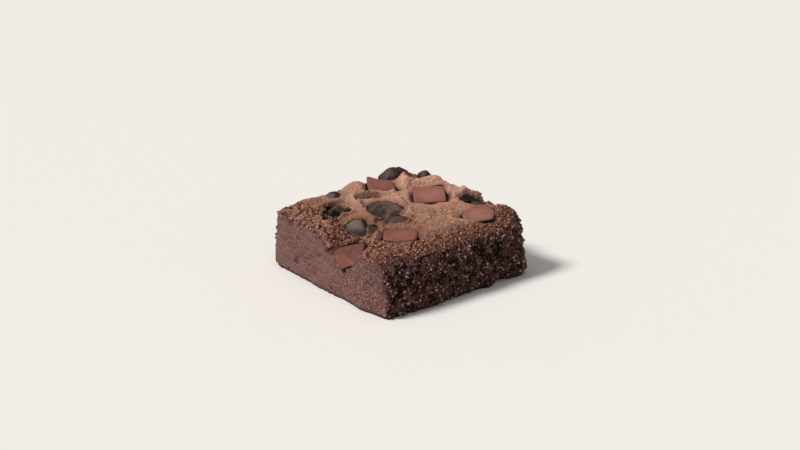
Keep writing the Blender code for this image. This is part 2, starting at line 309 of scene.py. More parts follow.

# How each piece has run and sunk in the oven: how much wider than its solid in x, y and z,
# how it has moved and how pale a painted highlight makes its middle
Melt = namedtuple("Melt", "grow move pale")
MELTS = {
    "dark_chip_back_corner": Melt((1.3, 0.8, 0.0), (0.2, 0.0, 0.0), 0.3),
    "dark_chip_corner": Melt((1.2, 1.0, 0.0), (-0.4, 0.0, -0.2), 0.0),
    "dark_chip_back_right": Melt((0.7, 0.7, -0.1), (0.0, 0.0, 0.0), 0.0),
    "dark_chip_back_left": Melt((0.4, 0.4, 0.0), (0.0, 0.0, -0.1), 0.1),
    "dark_chip_back_low": Melt((0.4, 0.4, 0.0), (0.0, 0.0, -0.1), 0.6),
    "dark_chip_melted": Melt((1.6, 1.6, 0.5), (-0.9, -0.9, -0.2), 0.6),
    "dark_chip_hollow": Melt((1.4, 0.4, 0.4), (-1.3, 0.9, 0.0), 0.5),
    "dark_chip_left": Melt((1.1, 1.6, 0.2), (0.7, 1.2, 0.0), 0.8),
    "dark_chip_left_low": Melt((1.5, 1.5, 0.5), (-0.6, 0.6, -0.5), 0.1),
    "dark_chip_small": Melt((0.8, 0.8, 0.5), (0.3, -0.3, 0.3), 0.4),
    "dark_chip_right": Melt((0.0, 0.0, -0.2), (0.2, 0.2, -0.8), 0.0),
    "milk_chunk_edge": Melt((0.0, 0.0, 0.0), (0.0, 0.0, 0.0), 0.1),
    "milk_chunk_front": Melt((0.2, 0.2, 0.0), (0.0, 0.0, -0.1), 0.5),
    "milk_chunk_flat": Melt((0.6, 0.6, 0.0), (0.0, 0.0, -0.2), 1.1),
    "milk_chunk_right": Melt((1.0, 0.7, 0.0), (0.0, 0.0, -0.1), 1.3),
    "milk_chunk_back": Melt((0.0, 0.0, 0.0), (0.0, 0.0, 0.0), 0.3),
}


def along_fold(x, y, fold):
    """How far a fold raises each place."""
    dx, dy = fold.x1 - fold.x0, fold.y1 - fold.y0
    share = ((x - fold.x0) * dx + (y - fold.y0) * dy) / (dx * dx + dy * dy)
    share = np.clip(share, 0, 1)
    distance = np.hypot(x - fold.x0 - share * dx, y - fold.y0 - share * dy)
    return fold.height * bell(distance, fold.wide)


def in_hollow(x, y, hollow):
    """How far inside a hollow each place lies: 1 on its even floor, 0 outside its wall."""
    turn = radians(hollow.turn)
    dx, dy = x - hollow.x, y - hollow.y
    along = (dx * cos(turn) + dy * sin(turn)) / hollow.long
    across = (dy * cos(turn) - dx * sin(turn)) / hollow.short
    return 1 - step(np.hypot(along, across), *HOLLOW_WALL)


# ------------------------------------------------------------------ chocolate

def painted_shade_of_chip(name, places, middle):
    """How much painted shade darkens a chip at each place: its foot, and the sides that some turn
    from the light.
    """
    height = (places[:, 2] - places[:, 2].min()) / np.ptp(places[:, 2])
    foot = 1 - step(height, 0.40, 0.72)
    to_front = (places - middle) @ FRONT
    to_left = (middle - places)[:, 0]
    if name == "dark_chip_hollow":
        return np.maximum(foot, step(to_front, 0.6, 1.8))
    if name == "dark_chip_left":
        return np.maximum(foot, 0.55 * step(-to_front, 0.6, 2.2))
    if name == "dark_chip_melted":
        return np.maximum.reduce([foot, step(to_left, 5.0, 7.2), step(-to_front, 5.0, 7.0)])
    return foot


def cut_by_knife(places):
    """Slant the upper part of the edge chunk's cut face, end its foot in a point, and say how
    much painted shade darkens each place: the slanted part, turned from the light."""
    x, y, z = places.T
    ridge = 16.4 - 0.45 * np.abs(y + 9.1)       # the slanted part starts above it
    foot = 11.2 + 0.55 * np.abs(y + 9.4)        # nothing of the chunk is left below it
    above = z - ridge
    places[:, 0] = np.maximum(x, x.min() + 0.6 * above)
    places[:, 2] = np.maximum(z, foot)
    return 0.45 * step(above, -0.1, 0.4)


def chocolate_mesh(name, swell, ripple, seed):
    """A chunk or chip: its solid's form with soft edges, run and sunk a little."""
    mesh = fine_mesh(name, CHOCOLATE_VOXEL, CHOCOLATE_SMOOTHING)
    places, normals = places_of(mesh), normals_of(mesh)
    melt = MELTS[name]
    middle = (places.min(0) + places.max(0)) / 2
    half = (places.max(0) - places.min(0)) / 2
    places = middle + (places - middle) * (1 + np.array(melt.grow) / half) + melt.move
    out = swell * noise_at(places, 4.5, seed) + ripple * noise_at(places, 1.9, seed + 3)
    places += normals * out[:, None]
    if name in CHIPS:
        upwards = step(normals[:, 2], 0.0, 0.6)
        places[:, 2] += upwards * sum(along_fold(*places[:, :2].T, fold) for fold in CHIP_FOLDS)
    for flat in FLATS:
        if flat.name == name:
            beyond = np.maximum((places - flat.place) @ np.array(flat.way), 0)
            places -= FLATTENED * beyond[:, None] * flat.way
    # A painted highlight on the middle, set towards the near side, so the edges read as shaded
    from_highlight_middle = (places - middle - 1.2 * FRONT)[:, :2]
    heart = melt.pale * bell(np.hypot(*from_highlight_middle.T), 0.9 * half[:2].mean())
    keep_value(mesh, "heart", heart)
    # Painted shade: the edge chunk's slanted part, the chips' feet and turned-away sides, and the
    # other chunks' sides
    if name == "milk_chunk_edge":
        deep = cut_by_knife(places)
    elif name in CHIPS:
        deep = painted_shade_of_chip(name, places, middle)
    else:
        deep = 1 - step(normals[:, 2], *UPWARDS)
    keep_value(mesh, "deep", deep)
    move_to(mesh, places)
    return mesh


def nearest_chocolate(pieces, places):
    """For each place the way out of the nearest piece, how far outside it the place lies
    (below zero inside) and the piece's middle."""
    corners, faces, middles = [], [], []
    for mesh in pieces.values():
        start = len(corners)
        own = places_of(mesh)
        corners += own.tolist()
        mesh.calc_loop_triangles()
        triangles = np.empty(len(mesh.loop_triangles) * 3, np.int32)
        mesh.loop_triangles.foreach_get("vertices", triangles)
        faces += (triangles.reshape(-1, 3) + start).tolist()
        middles += [(own.min(0) + own.max(0)) / 2] * (len(triangles) // 3)
    tree = BVHTree.FromPolygons(corners, faces)
    found = [tree.find_nearest(place) for place in places.tolist()]
    away = places - np.array([hit[0] for hit in found])
    ways = np.array([hit[1] for hit in found])
    distances = np.array([hit[3] for hit in found])
    inside = ((away * ways).sum(1) < 0) & (distances < INSIDE)
    away /= np.maximum(distances, 0.001)[:, None]
    away[inside] *= -1
    away[distances < 0.02] = ways[distances < 0.02]
    centres = np.array([middles[hit[2]] for hit in found])
    return away, np.where(inside, -distances, distances), centres


# ------------------------------------------------------------------ the baked square

def drawn_to(away, distances, gap, reach):
    """How far each place moves so that the surface closes in to a gap round the chocolate."""
    spare = distances - gap
    wanted = gap + np.maximum(spare, 0) * step(spare, 0, reach)
    return away * (wanted - distances)[:, None]


def close_round_chocolate(places, normals, chunks, chips):
    """Draw the pockets' rims in, so that the crust grips the chocolate and laps over its far
    side, with an open crack only on the near side."""
    away, chunk_distance, middle = nearest_chocolate(chunks, places)
    outwards = (places - middle) * (1, 1, 0)
    outwards /= np.maximum(np.linalg.norm(outwards, axis=1), 0.001)[:, None]
    facing = outwards @ FRONT
    on_top = step(normals[:, 2], -0.2, 0.5)
    cut_side = 1 - step(places[:, 0], -30.5, -29)
    crack = step(facing, -0.05, 0.40) * (1 - cut_side)
    wide = bell(np.hypot(places[:, 0] - WIDEST_CRACK[0], places[:, 1] - WIDEST_CRACK[1]), 3.6)
    gap = 0.03 + (CRACK + 0.20 * noise_at(places, 3.0, 17)) * crack + 0.6 * wide
    places = places + drawn_to(away, chunk_distance, gap, 1.4 + 1.4 * cut_side)
    places[:, 2] -= RIM_DROP * (1 - step(chunk_distance, 0.8, 2.8)) * crack * on_top
    lip = (1 - step(chunk_distance, 0.4, 1.8)) * step(-facing, 0.05, 0.6) * on_top
    lip *= chunk_distance > -0.6
    places = places - outwards * (0.8 * lip)[:, None]
    places[:, 2] += 0.35 * lip
    away, chip_distance, _ = nearest_chocolate(chips, places)
    loose = step(noise_at(places, 3.2, 16), 0.15, 0.55)
    places = places + drawn_to(away, chip_distance, 0.05 + 0.45 * loose, 1.5)
    places[:, 2] += 0.35 * bell(chip_distance - 1.2, 0.9) * on_top
    # The near crack's line, which the square's material paints as shade
    line = bell(np.maximum(chunk_distance - gap, 0), 1.15) * crack
    return places, np.minimum(chunk_distance, chip_distance), line


def kinds_of_surface(places, normals, wander, flutter, stain):
    """How far each place belongs to each kind of surface: 0 not at all, 1 wholly."""
    x, y, z = places.T
    nx, nz = normals[:, 0], normals[:, 2]
    kind = SimpleNamespace(stain=stain)
    kind.top = step(nz, *UPWARDS) * step(z, *CRUST_HEIGHT)
    kind.upper = step(z, *UPPER) * step(nz, *NOT_UNDER)
    kind.left = step(-nx, 0.5, 0.8) * step(-x, 30, 31) * (1 - kind.top)
    kind.foot = (1 - step(z + 0.9 * flutter, 0.3, 1.8)) * (1 - kind.top)

    # The crust gives way to crumb towards the front and the right, later at the corners
    corners = 3.2 * step(-x, 20, 28) + 3.6 * step(x, 23, 29)
    shore = -y + 1.4 * wander + 0.5 * flutter + corners
    kind.front_band = step(shore, *SHOULDER) * step(z, 6, 13)
    kind.front_fade = 0.55 * step(shore, 20.0, 26.5) + 0.45 * step(shore, 26, 33)
    right_band = step(x + 1.5 * wander, 28.5, 31.5)
    back_band = step(y + 1.5 * wander, 29.5, 32.5)

    # The left rim, the spongy crust behind it and the torn patch above the edge chunk
    sunk = RIM_SINK * np.clip(18 - y, 0, 40) ** RIM_CURVE
    kind.over_rim = z - (RIM_HEIGHT - sunk + 0.8 * wander)
    kind.left_rim = step(kind.over_rim, -0.5, 0.8) * step(-x, 28, 30.5) * step(y, -11, -7)
    spongy = step(-x + 2.0 * wander - 0.08 * y, 18.5, 23.0)
    kind.left_top = spongy * step(z, *UPPER) * step(nz, 0, 0.4)
    torn = bell(np.hypot((x + 27.0) / 1.1, (y + 2.5) / 1.15), 6.0) * step(z, 13, 15)
    kind.torn = step(torn + 0.30 * wander, 0.25, 0.65)
    smooth_back = step(y + 0.25 * x + 2.0 * wander, -7, 3) * (1 - kind.left_top)
    kind.wrinkled = 1 - 0.75 * smooth_back

    # The smooth cut side, speckled towards its front, and the rough torn sides
    kind.cut_face = kind.left * (1 - kind.left_rim) * (1 - kind.torn)
    kind.speckle = step(-y + 3.0 * wander, -2.0, 12.0)
    kind.edge = kind.left * step(-y, 31.0, 32.6) * (1 - step(z, 19, 21))
    other_sides = np.clip(1 - kind.cut_face - kind.top, 0, 1)
    kind.rough_side = other_sides * step(z, -1, 2)

    not_cut = 1 - kind.cut_face
    kind.crust = np.maximum(kind.top, kind.left_rim)
    kind.crust *= (1 - 0.90 * kind.front_fade) * (1 - 0.25 * kind.torn)
    kind.crust *= (1 - 0.60 * right_band) * (1 - stain)
    crumbly = np.maximum.reduce([other_sides, kind.front_band, kind.torn, 0.75 * kind.left_rim,
                                 0.8 * kind.left_top, 0.8 * right_band * not_cut,
                                 0.8 * back_band * not_cut])
    kind.crumbly = np.where(kind.cut_face > 0.5, crumbly * 0.3, crumbly)
    return kind


def holes_in_rim(places, moved, kind):
    """A row of small sharp holes along the left rim."""
    x, y, _ = places.T
    holes = step(noise_at(moved * (0.3, 1, 0.5), 1.3, 18), 0.12, 0.30)
    return holes * bell(kind.over_rim - 1.0, 1.5) * step(-x, 29, 31) * step(y, -11, -5)


def fine_relief(places, moved, kind, free, rim_holes):
    """How far wrinkles, grains, pores and pits stand out or in."""
    fine = noise_at(moved, 0.75, 12)
    crease = np.clip(1 - 4.5 * np.abs(noise_at(moved, 6.0, 5)), 0, 1) ** 2
    ripple = noise_at(moved * (0.42, 1, 1), 1.15, 15) * step(-places[:, 1], -4, 8)
    wrinkle = 0.20 * noise_at(moved, 1.6, 6) - 0.22 * crease + 0.08 * fine
    plain_top = kind.top * (1 - kind.crumbly) * (0.4 + 0.6 * free)
    detail = plain_top * (wrinkle * kind.wrinkled + 0.16 * ripple)

    small_grains = grains_at(moved, 1.0, 7) - 0.5
    large_grains = grains_at(moved, 2.8, 8) - 0.5
    detail += kind.crumbly * (0.65 * small_grains + 0.34 * fine)
    detail += kind.rough_side * (1.7 * large_grains + 0.45 * fine)

    streaks = noise_at(moved * (1, 0.3, 1), 1.3, 13)
    streak_pits = step(noise_at(moved * (1, 0.45, 1), 1.5, 14), 0.46, 0.62)
    detail += kind.cut_face * (0.05 * streaks + 0.10 * kind.speckle * fine
                               - 0.34 * streak_pits * (1 - 0.5 * kind.speckle))

    pits = step(noise_at(moved, 1.5, 11) + 0.08 * kind.torn + 0.05 * kind.left_top, 0.18, 0.38)
    pits *= kind.crumbly * np.maximum(kind.top, kind.left_rim) * (1 - kind.front_band)
    return detail - 1.1 * pits - 1.5 * rim_holes


def broad_relief(places, moved, kind, free, wander, flutter, swell):
    """How far the crust's swells and the sides' lumps stand out, and the foot stands in."""
    x, y, z = places.T
    lumps = 0.9 * noise_at(moved, 5.5, 9) + 0.8 * noise_at(moved, 2.8, 10)
    undercut = bell(np.hypot((x - 12) / 2.6, z - 0.5), 3.2) * step(-y, *TORN_SIDE)
    broad = swell * kind.top * free + 0.75 * lumps * kind.rough_side
    broad += 0.12 * wander * kind.cut_face
    return broad - 0.45 * kind.foot * (1 + flutter) - 1.8 * undercut


def keep_looks(mesh, places, kind, shown):
    """Keep on the mesh what its material reads."""
    x, y, _ = places.T
    keep_value(mesh, "crust", kind.crust)
    keep_value(mesh, "crumbly", kind.crumbly)
    keep_value(mesh, "speckle", kind.speckle)
    keep_value(mesh, "wrinkled", kind.wrinkled)
    # Painted shade in the cracks, on the pockets' walls and in the hollows, and darker towards the
    # foot
    dark_foot = 0.6 * kind.foot * (1 - 0.2 * kind.left)
    keep_value(mesh, "stain", np.maximum.reduce([kind.stain, dark_foot, shown.dark_hollow]))
    keep_value(mesh, "relief", shown.detail / 0.5)
    # The folds' height, which the material paints as highlight on tops and shade in dips
    keep_value(mesh, "hill", (shown.rise + 1.5 * shown.swell) / 1.5)
    keep_value(mesh, "warm", step(x + 0.3 * y, -14, 4) * (1 - kind.front_fade))
    # Painted shade in the valley below the back chunk and round the chocolate, with the torn patch's
    # own browner colour
    valley = bell(np.hypot((x + y - 19.0) / 1.8, (x - y + 18.0) / 5.0), 1.0)
    shade_by_chocolate = bell(shown.to_chocolate - 0.3, 1.0)
    keep_value(mesh, "browned", (shade_by_chocolate + valley + kind.torn) * kind.top)
    pale_lip = kind.left_rim * bell(kind.over_rim - 0.9, 1.2) * (1 - shown.rim_holes)
    keep_value(mesh, "edge", np.maximum(kind.edge, pale_lip))


def keep_crumb_places(mesh, places, kind, shown):
    """Keep on the mesh how thickly each scatter of loose crumbs covers it."""
    x, y, z = places.T
    clean = 1 - kind.stain
    raised = kind.rough_side * clean * step(shown.detail, -0.35, 0.25)
    front_side = step(-y, 27, 30) * (1 - 0.7 * bell(x + 34, 2.2))
    keep_value(mesh, "crumbs_front", raised * front_side)
    back_side = step(y, *TORN_SIDE) * step(x, -33.5, -30)
    keep_value(mesh, "crumbs_behind", raised * np.maximum(step(x, *TORN_SIDE), back_side))
    bare = step(clean * (1 - shown.dark_hollow), 0.5, 0.9)
    few = (1 - 0.65 * kind.left_top) * (1 - 0.7 * kind.left_rim)
    keep_value(mesh, "crumbs_top", kind.crumbly * step(z, *UPPER) * bare * few)
    keep_value(mesh, "crumbs_left", kind.left * (0.08 + 0.60 * step(-y, 8, 24)) * step(z, 0, 2))


def above_table(mesh):
    """Lift what lies below the table onto it."""
    places = places_of(mesh)
    places[:, 2] = np.maximum(places[:, 2], 0)
    move_to(mesh, places)


def body_mesh(chunks, chips):
    """The baked square: the solid's form with its crust, crumb, pores and cracks."""
    mesh = fine_mesh("brownie", CRUMB_VOXEL, CRUMB_SMOOTHING)
    places, normals = places_of(mesh), normals_of(mesh)
    x, y, z = places.T
    nz = normals[:, 2]
    wander, flutter = noise_at(places, 5.0, 1), noise_at(places, 1.6, 2)
    moved, to_chocolate, line = close_round_chocolate(places, normals, chunks, chips)
    free = step(to_chocolate, 0.5, 1.5)
    wall = 1 - step(nz, 0.35, 0.75)
    # Painted shade on the walls beside the chocolate and along the near crack
    stain = np.clip(np.maximum((1 - free) * wall, 0.9 * line), 0, 1)
    kind = kinds_of_surface(places, normals, wander, flutter, stain)

    swell = 0.40 * noise_at(moved, 7.0, 3) + 0.28 * noise_at(moved, 3.4, 4)
    rim_holes = holes_in_rim(places, moved, kind)
    detail = fine_relief(places, moved, kind, free, rim_holes)
    broad = broad_relief(places, moved, kind, free, wander, flutter, swell)
    sunk = [in_hollow(x + 0.5 * flutter, y + 0.4 * wander, hollow) for hollow in HOLLOWS]
    dip = kind.upper * sum(share * hollow.deep for share, hollow in zip(sunk, HOLLOWS))
    # How much painted shade darkens each place inside the hollows
    dark = np.clip(sum(share * hollow.dark for share, hollow in zip(sunk, HOLLOWS)), 0, 1)
    rise = kind.upper * sum(along_fold(x, y, fold) for fold in CRUST_FOLDS)
    rise *= 0.15 + 0.85 * free

    finished = moved + normals * ((broad + detail) * (1 - 0.8 * stain))[:, None]
    finished[:, 2] += rise - dip
    finished[(z < BASE) & (nz < -0.5), 2] = 0
    move_to(mesh, finished)
    above_table(mesh)
    shown = SimpleNamespace(detail=detail, swell=swell, rise=rise, rim_holes=rim_holes,
                            to_chocolate=to_chocolate, dark_hollow=dark * kind.upper)
    keep_looks(mesh, places, kind, shown)
    keep_crumb_places(mesh, places, kind, shown)
    flatten_base(mesh)
    mesh = thinned(mesh, CRUMB_FACES)
    above_table(mesh)
    return mesh


# ------------------------------------------------------------------ crumbs by Geometry Nodes

def new_tree(name, kind, inputs, outputs):
    """A node tree with named sockets, and its input and output nodes."""
    tree = bpy.data.node_groups.new(name, kind)
    for socket_name, socket_type, default in inputs:
        socket = tree.interface.new_socket(socket_name, in_out="INPUT", socket_type=socket_type)
        if default is not None:
            socket.default_value = default
    for socket_name, socket_type in outputs:
        tree.interface.new_socket(socket_name, in_out="OUTPUT", socket_type=socket_type)
    return tree, tree.nodes.new("NodeGroupInput").outputs, tree.nodes.new("NodeGroupOutput").inputs


def add_node(tree, kind, inputs=None, **settings):
    """A node with its settings made; an input given as a socket is linked."""
    made = tree.nodes.new(kind)
    for name, value in settings.items():
        setattr(made, name, value)
    for name, value in (inputs or {}).items():
        if isinstance(value, bpy.types.NodeSocket):
            tree.links.new(value, made.inputs[name])
        else:
            made.inputs[name].default_value = value
    return made


def crumb_tree():
    """Scatters small rough grains over a surface, half sunk in it."""
    tree, given, result = new_tree(
        "scatter crumbs", "GeometryNodeTree",
        [("Surface", "NodeSocketGeometry", None), ("Where", "NodeSocketString", ""),
         ("Spacing", "NodeSocketFloat", 0.0006), ("Density", "NodeSocketFloat", 2e6),
         ("Smallest", "NodeSocketFloat", 0.0002), ("Largest", "NodeSocketFloat", 0.0005),
         ("Seed", "NodeSocketInt", 1), ("Material", "NodeSocketMaterial", None)],
        [("Crumbs", "NodeSocketGeometry")])
    where = add_node(tree, "GeometryNodeInputNamedAttribute", {"Name": given["Where"]},
                     data_type="FLOAT")
    points = add_node(tree, "GeometryNodeDistributePointsOnFaces",
                      {"Mesh": given["Surface"], "Distance Min": given["Spacing"],
                       "Density Max": given["Density"], "Density Factor": where.outputs[0],
                       "Seed": given["Seed"]}, distribute_method="POISSON")
    kinds = add_node(tree, "GeometryNodeJoinGeometry")
    for kind in range(GRAIN_SHAPES):
        ball = add_node(tree, "GeometryNodeMeshIcoSphere", {"Radius": 1.0, "Subdivisions": 1})
        position = add_node(tree, "GeometryNodeInputPosition")
        lumps = add_node(tree, "ShaderNodeTexNoise",
                         {"Vector": position.outputs[0], "W": 3.7 * kind, "Scale": 1.1},
                         noise_dimensions="4D")
        centred = add_node(tree, "ShaderNodeVectorMath",
                           {0: lumps.outputs["Color"], 1: (0.5, 0.5, 0.5)}, operation="SUBTRACT")
        offset = add_node(tree, "ShaderNodeVectorMath", {0: centred.outputs[0], "Scale": 1.9},
                          operation="SCALE")
        rough = add_node(tree, "GeometryNodeSetPosition",
                         {"Geometry": ball.outputs["Mesh"], "Offset": offset.outputs[0]})
        packed = add_node(tree, "GeometryNodeGeometryToInstance", {0: rough.outputs[0]})
        tree.links.new(packed.outputs[0], kinds.inputs[0])
    pick = add_node(tree, "FunctionNodeRandomValue", {4: 0, 5: GRAIN_SHAPES - 1, "Seed": 11},
                    data_type="INT")
    turn = add_node(tree, "FunctionNodeRandomValue",
                    {0: (0, 0, 0), 1: (FULL_TURN, FULL_TURN, FULL_TURN), "Seed": 12},
                    data_type="FLOAT_VECTOR")
    rotation = add_node(tree, "FunctionNodeEulerToRotation", {0: turn.outputs[0]})
    chance = add_node(tree, "FunctionNodeRandomValue", {2: 0.0, 3: 1.0, "Seed": 13},
                      data_type="FLOAT")
    skewed = calc(tree, "POWER", chance.outputs[1], 2.2)
    size = add_node(tree, "ShaderNodeMapRange",
                    {"Value": skewed, "To Min": given["Smallest"], "To Max": given["Largest"]})
    grains = add_node(tree, "GeometryNodeInstanceOnPoints",
                      {"Points": points.outputs["Points"], "Instance": kinds.outputs[0],
                       "Pick Instance": True, "Instance Index": pick.outputs[2],
                       "Rotation": rotation.outputs[0], "Scale": size.outputs[0]})
    tone = add_node(tree, "FunctionNodeRandomValue", {2: 0.0, 3: 1.0, "Seed": 14},
                    data_type="FLOAT")
    toned = add_node(tree, "GeometryNodeStoreNamedAttribute",
                     {"Geometry": grains.outputs[0], "Name": "tone", "Value": tone.outputs[1]},
                     data_type="FLOAT", domain="INSTANCE")
    real = add_node(tree, "GeometryNodeRealizeInstances", {0: toned.outputs[0]})
    finished = add_node(tree, "GeometryNodeSetMaterial",
                        {"Geometry": real.outputs[0], "Material": given["Material"]})
    tree.links.new(finished.outputs[0], result["Crumbs"])
    return tree


def scattered(tree, surface, name, material, **sizes):
    """The crumbs that the tree scatters over a surface, as one plain mesh."""
    worker = add_object("worker", surface)
    scatter = worker.modifiers.new("scatter", "NODES")
    scatter.node_group = tree
    identifiers = {item.name: item.identifier for item in tree.interface.items_tree
                   if item.in_out == "INPUT"}
    for socket_name, value in sizes.items():
        scatter[identifiers[socket_name]] = value
    scatter[identifiers["Material"]] = material
    mesh = settled(worker, name)
    above_table(mesh)
    return mesh


# ------------------------------------------------------------------ materials

def mix(tree, share, first, second):
    """A share of the second colour over the first."""
    made = add_node(tree, "ShaderNodeMix", {0: share, 6: first, 7: second},
                    data_type="RGBA", blend_type="MIX", clamp_factor=True)
    return made.outputs[2]


def calc(tree, operation, first, second=0.0, clamp=False):
    made = add_node(tree, "ShaderNodeMath", {0: first, 1: second}, operation=operation,
                    use_clamp=clamp)
    return made.outputs[0]


def ramp(tree, value, low, high):
    """0 below low, 1 above high, and a smooth slope between them."""
    made = add_node(tree, "ShaderNodeMapRange",
                    {"Value": value, "From Min": low, "From Max": high},
                    interpolation_type="SMOOTHSTEP")
    return made.outputs["Result"]


def kept_value(tree, name):
    """What the mesh keeps under this name."""
    return add_node(tree, "ShaderNodeAttribute", attribute_name=name).outputs["Fac"]


def place_node(tree):
    """The place on the object in millimetres."""
    coordinates = add_node(tree, "ShaderNodeTexCoord")
    scaled = add_node(tree, "ShaderNodeVectorMath",
                      {0: coordinates.outputs["Object"], "Scale": 1 / MM}, operation="SCALE")
    return scaled.outputs[0]


def noise_texture(tree, place, size):
    """Soft noise; its size in millimetres is a number or a socket."""
    if isinstance(size, bpy.types.NodeSocket):
        scale = calc(tree, "DIVIDE", 1.0, size)
    else:
        scale = 1 / size
    made = add_node(tree, "ShaderNodeTexNoise",
                    {"Vector": place, "Scale": scale, "Detail": 3.0, "Roughness": 0.6})
    return made.outputs["Fac"]


def mottle_group():
    """Soft uneven patches."""
    tree, given, result = new_tree(
        "mottle", "ShaderNodeTree",
        [("Place", "NodeSocketVector", None), ("Size", "NodeSocketFloat", 5.0),
         ("Low", "NodeSocketFloat", 0.4), ("High", "NodeSocketFloat", 0.6)],
        [("Mask", "NodeSocketFloat")])
    cloud = noise_texture(tree, given["Place"], given["Size"])
    tree.links.new(ramp(tree, cloud, given["Low"], given["High"]), result["Mask"])
    return tree


def grain_group():
    """Packed crumb: a random tone for each grain, and the grains' height."""
    tree, given, result = new_tree(
        "crumb grain", "ShaderNodeTree",
        [("Place", "NodeSocketVector", None), ("Size", "NodeSocketFloat", 0.7)],
        [("Tone", "NodeSocketFloat"), ("Height", "NodeSocketFloat")])
    warp = add_node(tree, "ShaderNodeTexNoise", {"Vector": given["Place"], "Scale": 1.1})
    bent = add_node(tree, "ShaderNodeVectorMath",
                    {0: warp.outputs["Color"], 1: given["Place"]}, operation="ADD")
    scale = calc(tree, "DIVIDE", 1.0, given["Size"])
    cells = add_node(tree, "ShaderNodeTexVoronoi", {"Vector": bent.outputs[0], "Scale": scale})
    split = add_node(tree, "ShaderNodeSeparateColor", {0: cells.outputs["Color"]})
    height = calc(tree, "SUBTRACT", 1.0, cells.outputs["Distance"], clamp=True)
    tree.links.new(split.outputs[0], result["Tone"])
    tree.links.new(height, result["Height"])
    return tree


def pore_group():
    """Small round pores, scattered unevenly."""
    tree, given, result = new_tree(
        "pores", "ShaderNodeTree",
        [("Place", "NodeSocketVector", None), ("Size", "NodeSocketFloat", 1.5),
         ("Radius", "NodeSocketFloat", 0.25)],
        [("Mask", "NodeSocketFloat")])
    scale = calc(tree, "DIVIDE", 1.0, given["Size"])
    cells = add_node(tree, "ShaderNodeTexVoronoi", {"Vector": given["Place"], "Scale": scale})
    cloud = noise_texture(tree, given["Place"], 3.5)
    reach = calc(tree, "MULTIPLY", given["Radius"], ramp(tree, cloud, 0.35, 0.7))
    inside = calc(tree, "SUBTRACT", reach, cells.outputs["Distance"])
    tree.links.new(ramp(tree, inside, -0.02, 0.08), result["Mask"])
    return tree


def use_group(tree, group, **inputs):
    """The outputs of a shared group used with these inputs."""
    made = tree.nodes.new("ShaderNodeGroup")
    made.node_tree = group
    for name, value in inputs.items():
        if isinstance(value, bpy.types.NodeSocket):
            tree.links.new(value, made.inputs[name])
        else:
            made.inputs[name].default_value = value
    return made.outputs


def new_material(name, roughness, specular=0.5):
    material = bpy.data.materials.new(name)
    material.use_nodes = True
    shader = material.node_tree.nodes["Principled BSDF"]
    shader.inputs["Roughness"].default_value = roughness
    shader.inputs["Specular IOR Level"].default_value = specular
    return material, material.node_tree, shader


def add_bump(tree, shader, height, distance):
    bump = add_node(tree, "ShaderNodeBump",
                    {"Height": height, "Distance": distance * MM, "Strength": 1.0})
    tree.links.new(bump.outputs["Normal"], shader.inputs["Normal"])


